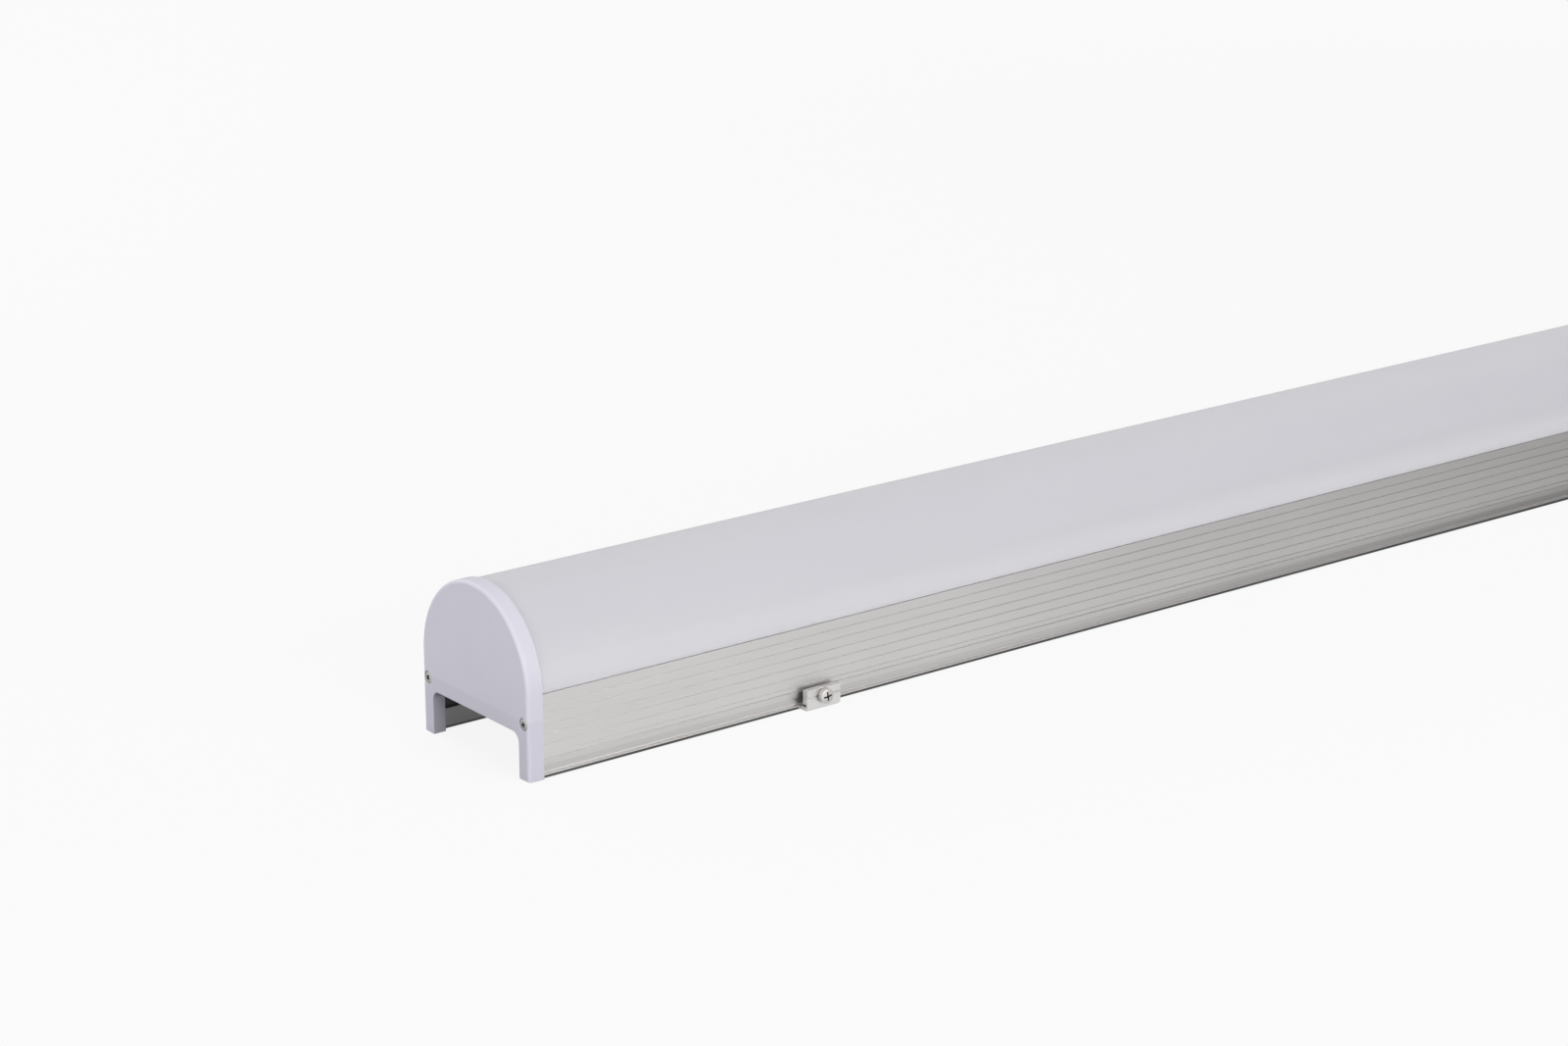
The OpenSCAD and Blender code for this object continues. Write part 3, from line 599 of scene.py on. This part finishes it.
def cap_outline(inset, arch_inset, x_out, x_arch, low):
    """Ring of (x, y, z) points of the cap's outline, arch included."""
    r = CAP_R - inset
    ring = [(x_out, -r, z) for z in (low,) + CAP_SIDE_ZS]
    for k in range(CAP_ARC_STEPS + 1):
        a = math.pi - math.pi * k / CAP_ARC_STEPS
        ring.append((x_out, r * math.cos(a), SEAM_Z + r * math.sin(a)))
    ring += [(x_out, r, z) for z in CAP_SIDE_ZS[::-1] + (low,)]
    side = ARCH_Y + arch_inset
    top = ARCH_Z + arch_inset
    c = ARCH_R + arch_inset
    arch = [(side, low), (side, CAP_SIDE_ZS[0])] + arc(side - c, top - c, c, 0.0, 90.0, 12)
    arch += [(y, top) for y in CAP_TOP_YS]
    arch += arc(-(side - c), top - c, c, 90.0, 180.0, 12)
    arch += [(-side, CAP_SIDE_ZS[0]), (-side, low)]
    return ring + [(x_arch, y, z) for y, z in arch]


def dome_outline(half, low, n=72):
    return [(-half, low)] + arc(0, SEAM_Z, half, 180.0, 0.0, n) + [(half, low)]


def screw_mouth(side):
    """Recess for a cap screw's head, with a rounded edge, and the hole for its shank."""
    place = at(-CAP_X, side * PORT[0], PORT[1]) @ spin(90, "Y")
    rounding = [math.radians(a) for a in (22.5, 45, 67.5, 90)]
    mouth = [(0, -0.6), (3.3, -0.6), (3.3, 0.0)]
    mouth += [(HEAD_HOLE_R + HEAD_HOLE_EDGE * (1 - math.sin(a)),
               HEAD_HOLE_EDGE * (1 - math.cos(a))) for a in rounding]
    mouth += [(HEAD_HOLE_R, 1.55), (2.75, 1.7), (SHANK_HOLE_R, 1.7), (SHANK_HOLE_R, 4.0),
              (0, 4.0)]
    return turned("cut", mouth, place, 72)


def make_cap():
    rings = []
    for k in range(CAP_EDGE_STEPS + 1):
        t = math.radians(90.0 * k / CAP_EDGE_STEPS)
        inward = 1 - math.sin(t)
        back = 1 - math.cos(t)
        rings.append(cap_outline(CAP_EDGE * inward, CAP_ARCH_EDGE * inward,
                                 -CAP_X + CAP_EDGE * back, -CAP_X + CAP_ARCH_EDGE * back,
                                 CAP_FOOT_EDGE * inward))
    chamfer_x = CAP_BACK_X - CAP_BACK_EDGE
    rings.append(cap_outline(0.0, 0.0, chamfer_x, chamfer_x, 0.0))
    rings.append(cap_outline(CAP_BACK_EDGE, CAP_BACK_EDGE, CAP_BACK_X, CAP_BACK_X,
                             CAP_BACK_EDGE))
    cap = loft("end_cap_shell", rings)
    # Pocket for the body, in cuts that leave the inner shell beside the channel
    pocket = prism("cut", dome_outline(POCKET_Y, 21.5), POCKET_X, CUT_X)
    legs = [prism("cut", [(s * 36.4, 1.0), (s * POCKET_Y, 1.0), (s * POCKET_Y, 22.0),
                          (s * 36.4, 22.0)], POCKET_X, CUT_X) for s in (-1, 1)]
    inner = prism("cut", [(-FOOT_Y, -1.0), (FOOT_Y, -1.0), (FOOT_Y, 22.1), (-FOOT_Y, 22.1)],
                  INNER_X, CUT_X)
    combine(cap, [pocket] + legs + [inner] + [screw_mouth(s) for s in (-1, 1)])
    return shade(cap, 28)


# Screws

Screw = namedtuple("Screw", "head_r head_h shank_r length cross_l cross_w bulge")

# The cross is given as shares of the head's width, and the bulge as a share of its height
CAP_SCREW = Screw(2.68, 1.6, 1.45, 14.0, 0.50, 0.15, 0.26)
CLAMP_SCREW = Screw(3.5, 2.35, 1.75, 6.1, 0.66, 0.105, 0.22)
TIP_CHAMFER = 0.4
THREAD_PITCH = 0.6
THREAD_DEPTH = 0.22
THREAD_END = -0.9               # the thread stops here below the head
CROWN_STEPS = 12
CROSS_DEPTH = 0.7               # share of the head's height
RECESS_SKIN = 0.08              # faces this far below the crown lie inside the cross
TURNED_SMOOTH = 35


def screw_profile(size, big):
    """(radius, height) points from the tip to the top of a crown of radius big."""
    head_r, shank_r, length = size.head_r, size.shank_r, size.length
    core_r = shank_r - THREAD_DEPTH
    profile = [(0, -length), (shank_r - TIP_CHAMFER, -length),
               (shank_r, -length + TIP_CHAMFER)]
    z = -length + THREAD_PITCH
    while z < THREAD_END:
        profile += [(shank_r, z), (shank_r, z + 0.08), (core_r, z + 0.3), (core_r, z + 0.36)]
        z += THREAD_PITCH
    profile += [(shank_r, -0.35), (shank_r, 0.0), (head_r - 0.2, 0.0), (head_r - 0.05, 0.06),
                (head_r, 0.2)]
    side_top = size.head_h * (1 - size.bulge)
    profile.append((head_r, max(side_top - 0.088 * size.head_h, 0.3)))
    crown_end = math.asin((head_r - 0.06) / big)
    for k in range(CROWN_STEPS + 1):
        a = crown_end * (1 - k / CROWN_STEPS)
        profile.append((big * math.sin(a), size.head_h - big + big * math.cos(a)))
    return profile


def pan_head(name, size, place):
    """Pan-head screw that points to local -Z, with the head's underside at z = 0."""
    crown = size.head_h * size.bulge
    big = (size.head_r ** 2 + crown ** 2) / (2 * crown)
    screw = turned(name, screw_profile(size, big), place, 72)
    head_h = size.head_h
    over = head_h + 0.05
    length = 2 * size.head_r * size.cross_l
    width = 2 * size.head_r * size.cross_w
    depth = head_h * CROSS_DEPTH
    cuts = [tapered_bar((length * 1.02, width * 1.15), (length * 0.55, width * 0.7), over,
                        head_h - depth, place @ spin(turn, "Z")) for turn in (0, 90)]
    cuts.append(turned("cut", [(0, head_h - depth * 1.1), (width * 0.45, head_h - depth * 1.05),
                               (width * 0.95, over), (0, over)], place, 32))
    combine(screw, cuts)
    # Faces inside the cross take the second material, a painted shade
    back = place.inverted() @ Matrix.Scale(1 / MM, 4)
    for poly in screw.data.polygons:
        centre = back @ poly.center
        out = math.hypot(centre.x, centre.y)
        if centre.z > 0 and out < length * 0.56:
            surface_z = head_h - big + math.sqrt(big ** 2 - out ** 2)
            if centre.z < surface_z - RECESS_SKIN:
                poly.material_index = 1
    return shade(screw, TURNED_SMOOTH)


def join(name, parts):
    bm = bmesh.new()
    for part in parts:
        bm.from_mesh(part.data)
        bpy.data.objects.remove(part)
    return shade(mesh_object(name, bm), TURNED_SMOOTH)


def make_cap_screws():
    screws = []
    for side, turn in ((-1, 24.0), (1, 61.0)):
        place = at(-498.3, side * PORT[0], PORT[1]) @ spin(-90, "Y") @ spin(turn, "Z")
        screws.append(pan_head("screw", CAP_SCREW, place))
    return join("cap_screw_pair", screws)


# Clip, washer and clamping screw

WASHER_T = 0.8
CLIP_HALF_L = 9.5
# Near ear with its scribed line, strip, pad between the feet, far hook
CLIP_OUTLINE = [
    (EAR_Y, 0.0, 0.55), (EAR_Y, SCREW_Z - 0.55, 0.1), (-44.4, SCREW_Z, 0.05),
    (EAR_Y, SCREW_Z + 0.55, 0.1), (EAR_Y, 9.65, 0.35), (-41.9, 9.65, 0.35),
    (-41.9, 2.9, 0.2), (-44.1, 2.9, 0.15), (-44.1, 1.8, 0.15), (-40.3, 1.8, 0.3),
    (-40.3, 1.0, 0.2), (-35.0, 1.0, 0.2), (-35.0, 3.5, 0.5), (35.0, 3.5, 0.5),
    (35.0, 1.0, 0.2), (40.3, 1.0, 0.3), (40.3, 2.7, 0.2), (39.2, 2.7, 0.35),
    (39.2, 4.7, 0.35), (40.3, 4.7, 0.2), (40.3, 6.3, 0.3), (42.9, 6.3, 0.5),
    (42.9, 0.0, 0.5),
]
WALL_HOLE = [(0, -1.0), (2.6, -1.0), (2.6, 3.0), (3.3, 3.5), (3.3, 4.5), (0, 4.5)]
WASHER_RING = [(1.87, 0.05), (1.95, 0.0), (3.0, 0.0), (3.1, 0.1), (3.1, 0.7),
               (3.0, WASHER_T), (1.95, WASHER_T), (1.87, 0.75)]
WASHER_GAP = 5.0                # degrees on each side of the split
WASHER_SKEW = 0.12              # slant of the split


def make_clip():
    clip = prism("clip_left", rounded(CLIP_OUTLINE, 4), CLIP_X - CLIP_HALF_L,
                 CLIP_X + CLIP_HALF_L)
    wall_hole = turned("cut", WALL_HOLE, at(CLIP_X), 64)
    screw_hole = cylinder(1.8, -1.0, 5.0, at(CLIP_X, -41.0, SCREW_Z) @ spin(90, "X"), 48)
    corner = tapered_bar((1.7, 4.6), (1.7, 4.6), 4.0, -4.0,
                         at(CLIP_X + CLIP_HALF_L, -43.7) @ spin(45, "Y"))
    combine(clip, [wall_hole, screw_hole, corner])
    round_edges(clip, 0.22, 3, 40)
    return shade(clip, 34)


def make_washer():
    """Split spring washer, its two ends slanted."""
    bm = bmesh.new()
    steps = 72
    rows = []
    for k in range(steps + 1):
        a = math.radians(WASHER_GAP + (360 - 2 * WASHER_GAP) * k / steps)
        skew = WASHER_SKEW * (2 * k / steps - 1)
        turns = [(r, a + skew * (h - WASHER_T / 2), h) for r, h in WASHER_RING]
        rows.append([bm.verts.new((r * math.cos(t), r * math.sin(t), h))
                     for r, t, h in turns])
    bridge(bm, rows)
    bm.faces.new(rows[0])
    bm.faces.new(rows[-1])
    bmesh.ops.transform(bm, matrix=at(CLIP_X, EAR_Y, SCREW_Z) @ spin(90, "X"), verts=bm.verts)
    return shade(to_object("spring_washer_left", bm), 40)


def make_clip_screw():
    place = at(CLIP_X, EAR_Y - WASHER_T, SCREW_Z) @ spin(90, "X") @ spin(8.0, "Z")
    return pan_head("clamp_screw_left", CLAMP_SCREW, place)


# Glands and vent, from (radius, height) points

HEX_AF = 15.0
HEX_CORNER = 0.4
HEX_CHAMFER = 0.55
GLAND_NECK_R = 5.6
THREAD_R = 6.0
SEAT_Z = 20.6                   # where glands and vent meet their gaskets
NUT_CONE = [(0, 7.1), (5.3, 7.1), (GLAND_NECK_R, 7.25), (7.2, 9.6), (7.42, 10.2), (0, 10.4)]
NUT_BORE = [(0, 6.0), (4.0, 6.0), (4.0, 7.1), (3.6, 7.5), (3.6, 9.1), (5.65, 9.1),
            (5.65, 17.0), (0, 17.0)]
GLAND_ROD = [(0, 9.6), (5.3, 9.6), (GLAND_NECK_R, 9.9), (GLAND_NECK_R, 17.0),
             (GLAND_NECK_R, 20.0), (THREAD_R, 20.0), (THREAD_R, 26.7), (5.6, 27.1),
             (0, 27.1)]
GLAND_BORE = [(0, 9.0), (4.4, 9.0), (4.4, 16.1), (3.9, 16.1), (3.9, 28.0), (0, 28.0)]
VENT_PROFILE = [(0, 16.6), (6.9, 16.6), (7.3, 16.7), (7.7, 16.95), (7.95, 17.4), (8.0, 17.8),
                (8.0, 20.4), (7.8, SEAT_Z), (THREAD_R, SEAT_Z), (THREAD_R, 26.8),
                (5.7, 27.1), (0, 27.1)]
VENT_BORE = [(0, 17.8), (3.0, 17.8), (3.0, 25.9), (4.6, 25.9), (4.6, 28.0), (0, 28.0)]
VENT_GRIP = [(0, 16.0), (0.42, 16.0), (0.42, 17.5), (0, 17.7)]
VENT_GRIP_R = 8.25
VENT_SLOTS = 6
VENT_GRIPS = 24


def hexagon(across, corner):
    r = across / math.sqrt(3)
    points = [(r * math.cos(math.radians(60 * k)), r * math.sin(math.radians(60 * k)), corner)
              for k in range(6)]
    return rounded(points, 3)


def hex_solid(name, z0, z1, x, chamfer_low):
    """Hexagonal prism on a gland's axis, with its corners turned off at the chosen ends."""
    ring = hexagon(HEX_AF, HEX_CORNER)
    body = loft(name, [[(x + p[0], GLAND_Y + p[1], z) for p in ring] for z in (z0, z1)])
    r = HEX_AF / math.sqrt(3) + 0.1
    flat_r = HEX_AF / 2 - 0.1
    low = [(0, z0 - 1), (r, z0 - 1)]
    if chamfer_low:
        low = [(0, z0), (flat_r, z0), (r, z0 + HEX_CHAMFER)]
    high = [(r, z1 - HEX_CHAMFER), (flat_r, z1), (0, z1)]
    cone = turned("cut", low + high, at(x, GLAND_Y), 72)
    return combine(body, [cone], "INTERSECT")


def make_gland_nut():
    x = GLAND_XS[0]
    place = at(x, GLAND_Y)
    nut = hex_solid("gland_nut_shell", 10.1, 15.6, x, False)
    combine(nut, [turned("cut", NUT_CONE, place, 72)], "UNION")
    combine(nut, [turned("cut", NUT_BORE, place)])
    return shade(nut, TURNED_SMOOTH)


def make_gland_body():
    x = GLAND_XS[0]
    place = at(x, GLAND_Y)
    body = hex_solid("gland_body_shell", 16.6, SEAT_Z, x, True)
    combine(body, [turned("cut", GLAND_ROD, place)], "UNION")
    combine(body, [turned("cut", GLAND_BORE, place)])
    return shade(body, TURNED_SMOOTH)


def make_vent():
    place = at(VENT_X, GLAND_Y)
    plug = turned("vent_shell", VENT_PROFILE, place, 96)
    cuts = [turned("cut", VENT_BORE, place)]
    for k in range(VENT_SLOTS):
        cuts.append(tapered_bar((8.0, 1.4), (8.0, 1.4), 19.2, 17.8,
                                place @ spin(360 / VENT_SLOTS * k, "Z") @ at(5.0)))
    # Finger grips round the cap's edge
    for k in range(VENT_GRIPS):
        a = math.radians(360 / VENT_GRIPS * (k + 0.5))
        spot = at(VENT_X + VENT_GRIP_R * math.cos(a), GLAND_Y + VENT_GRIP_R * math.sin(a))
        cuts.append(turned("cut", VENT_GRIP, spot, 12))
    combine(plug, cuts)
    return shade(plug, TURNED_SMOOTH)


# The light

make_extrusion()
make_cover()
pair(make_cap(), WHITE, "white_plastic", "end_cap")
pair(make_cap_screws(), STEEL, "steel_screw", "cap_screws", painted_shade=RECESS_SHADE)
pair(make_clip(), CLIP, "clip_metal", "mounting_clip", "clip")
pair(make_washer(), STEEL, "steel_screw", "clip_washer", "washer")
pair(make_clip_screw(), STEEL, "steel_screw", "clip_screw", "screw", RECESS_SHADE)
pair(make_gland_nut(), GLAND, "gland_plastic", "gland_nut")
pair(make_gland_body(), GLAND, "gland_plastic", "gland_body")
piece(make_vent(), GLAND, "light", "gland_plastic", "vent_plug")

# The other CAD nodes keep their shape and take a procedural finish
node_slots = {part["node"]: part["material_slot"] for part in frame["record"]["subparts"]}
for node_name, node in frame["nodes"].items():
    material = SLOTS[node_slots[node_name]]
    if node.material_slots:
        for material_slot in node.material_slots:
            material_slot.material = material
    else:
        node.data.materials.append(material)


# Floor and world, in metres

FLOOR_HALF = 20.0
WHITE_LEVEL = 0.956
BACK = (WHITE_LEVEL, WHITE_LEVEL, WHITE_LEVEL, 1.0)
SOFT_SKY = (1.0, 0.995, 1.0, 1.0)
SOFT_SKY_LEVEL = 0.525
BOUNCE = 0.34                   # the floor's colour for light that isn't seen directly


def brightest(n, *values):
    level = values[0]
    for value in values[1:]:
        level = n.maths("MAXIMUM", level, value)
    return level


def floor_levels(n, seen_direct):
    """How much of the floor glows white, its white level and its diffuse colour."""
    place = n.place("Object")
    x, y, _ = n.split(place)
    across = n.maths("ABSOLUTE", y)
    along = n.maths("ABSOLUTE", x)
    radius = n.add("ShaderNodeVectorMath", {0: place}, operation="LENGTH").outputs["Value"]
    # The floor right below the body's two feet takes a painted shadow, a darker colour without
    # the white glow
    beside = n.times(n.fade(across, 0.0363, 0.0367, 0.0, 1.0),
                     n.fade(across, 0.0394, 0.0400, 1.0, 0.0))
    foot_shadow = n.times(beside, n.fade(along, 0.4955, 0.4965, 1.0, 0.0))
    # The camera sees white that takes a light shadow, and plain white further out
    seen = n.times(n.fade(radius, 0.9, 2.0, 0.90, 1.0), n.maths("SUBTRACT", 1.0, foot_shadow))
    level = n.fade(radius, 0.9, 2.0, 0.982, WHITE_LEVEL)
    # Painted shade: reflections are dark close to the body, a little further out on the right
    closer = n.maths("SUBTRACT", across, n.fade(x, -0.30, 0.30, 0.0, 0.0075))
    floor_painted_shade = n.fade(closer, 0.0350, 0.0465, 0.33, 1.0)
    # Painted light: those of the floor in front of the body also fall from left to right
    front = n.fade(y, -0.04, 0.04, 1.0, 0.0)
    mirror = n.times(n.mix(front, 0.45, n.fade(x, -0.42, 0.71, 0.81, 0.0)), floor_painted_shade)
    glow = n.mix(seen_direct, mirror, seen)
    diffuse = n.mix(seen_direct, n.times(floor_painted_shade, BOUNCE), n.ramp(foot_shadow, 0.0, 1.0, 0.85, 0.22))
    return glow, level, diffuse


def make_floor():
    bm = bmesh.new()
    bmesh.ops.create_grid(bm, x_segments=2, y_segments=2, size=FLOOR_HALF)
    floor = mesh_object("studio_floor", bm)
    mat, n = new_material("floor_pale")
    ray = n.add("ShaderNodeLightPath").outputs
    glow, level, diffuse = floor_levels(n, ray["Is Camera Ray"])
    pale = brightest(n, ray["Is Camera Ray"], ray["Is Glossy Ray"], ray["Is Transmission Ray"])
    lit = n.add("ShaderNodeBsdfDiffuse", {"Color": n.grey(diffuse)}).outputs[0]
    white = n.add("ShaderNodeEmission", {"Color": n.grey(level), "Strength": 1.0}).outputs[0]
    top = n.mix_shader(n.times(pale, glow), lit, white)
    # Seen from below, the floor is clear
    below = n.add("ShaderNodeNewGeometry").outputs["Backfacing"]
    clear = n.add("ShaderNodeBsdfTransparent").outputs[0]
    whole = n.mix_shader(n.times(below, ray["Is Camera Ray"]), top, clear)
    n.add("ShaderNodeOutputMaterial", {"Surface": whole})
    floor.data.materials.append(mat)


def make_world():
    """Soft light all round. Reflections see white that falls to the front right."""
    world = bpy.data.worlds.new("studio")
    bpy.context.scene.world = world
    world.use_nodes = True
    n = Nodes(world.node_tree)
    ray = n.add("ShaderNodeLightPath").outputs
    x, y, _ = n.split(n.place("Generated"))
    falling = n.mix(n.fade(y, -0.25, 0.15, 1.0, 0.0), 0.94, n.fade(x, 0.52, 0.72, 1.0, 0.0))
    soft, mirror, white = [
        n.add("ShaderNodeBackground", {"Color": color, "Strength": strength}).outputs[0]
        for color, strength in ((SOFT_SKY, SOFT_SKY_LEVEL), (BACK, falling), (BACK, 1.0))]
    shine = n.mix_shader(ray["Is Glossy Ray"], soft, mirror)
    direct = brightest(n, ray["Is Camera Ray"], ray["Is Transmission Ray"])
    n.add("ShaderNodeOutputWorld", {"Surface": n.mix_shader(direct, shine, white)})


# Lights and camera, in metres

# Name, place, target, length and width, watts, colour
LIGHTS = (
    ("key_soft", (-0.22, -1.90, 0.56), (-0.02, 0.0, 0.03), (1.5, 0.9), 20.0,
     (1.0, 0.99, 0.98)),
    ("side_soft", (-2.20, -0.20, 0.36), (-0.50, 0.0, 0.04), (1.0, 0.6), 9.9,
     (1.0, 0.99, 0.98)),
    ("back_soft", (-0.70, 1.90, 1.00), (-0.05, 0.0, 0.05), (1.6, 0.8), 8.5,
     (1.0, 0.98, 0.98)),
    ("top_soft", (-0.2, 0.4, 2.2), (0.0, 0.0, 0.0), (2.2, 1.2), 4.2, (0.98, 0.98, 1.0)),
)
CAMERA_PLACE = (-1.31936, -1.27519, 0.58536)
CAMERA_LOOK = (0.5838, 0.7534, -0.3027)
CAMERA_LENS = 85.7
CAMERA_SENSOR = 36.0
CAMERA_REACH = 100.0


def area_light(name, place, target, size, watts, color):
    data = bpy.data.lights.new(name, "AREA")
    data.shape = "RECTANGLE"
    data.size, data.size_y = size
    data.energy = watts
    data.color = color
    light = add_object(name, data)
    light.location = place
    toward = Vector(target) - Vector(place)
    light.rotation_euler = toward.to_track_quat("-Z", "Y").to_euler()


def make_camera():
    data = bpy.data.cameras.new("camera")
    data.lens = CAMERA_LENS
    data.sensor_width = CAMERA_SENSOR
    data.clip_end = CAMERA_REACH
    camera = add_object("camera", data)
    forward = Vector(CAMERA_LOOK).normalized()
    right = forward.cross(Vector((0, 0, 1))).normalized()
    rotation = Matrix((right, right.cross(forward), -forward)).transposed()
    camera.matrix_world = at(*CAMERA_PLACE) @ rotation.to_4x4()
    bpy.context.scene.camera = camera


make_floor()
make_world()
for light_row in LIGHTS:
    area_light(*light_row)
make_camera()

bpy.context.scene.view_settings.view_transform = "Standard"
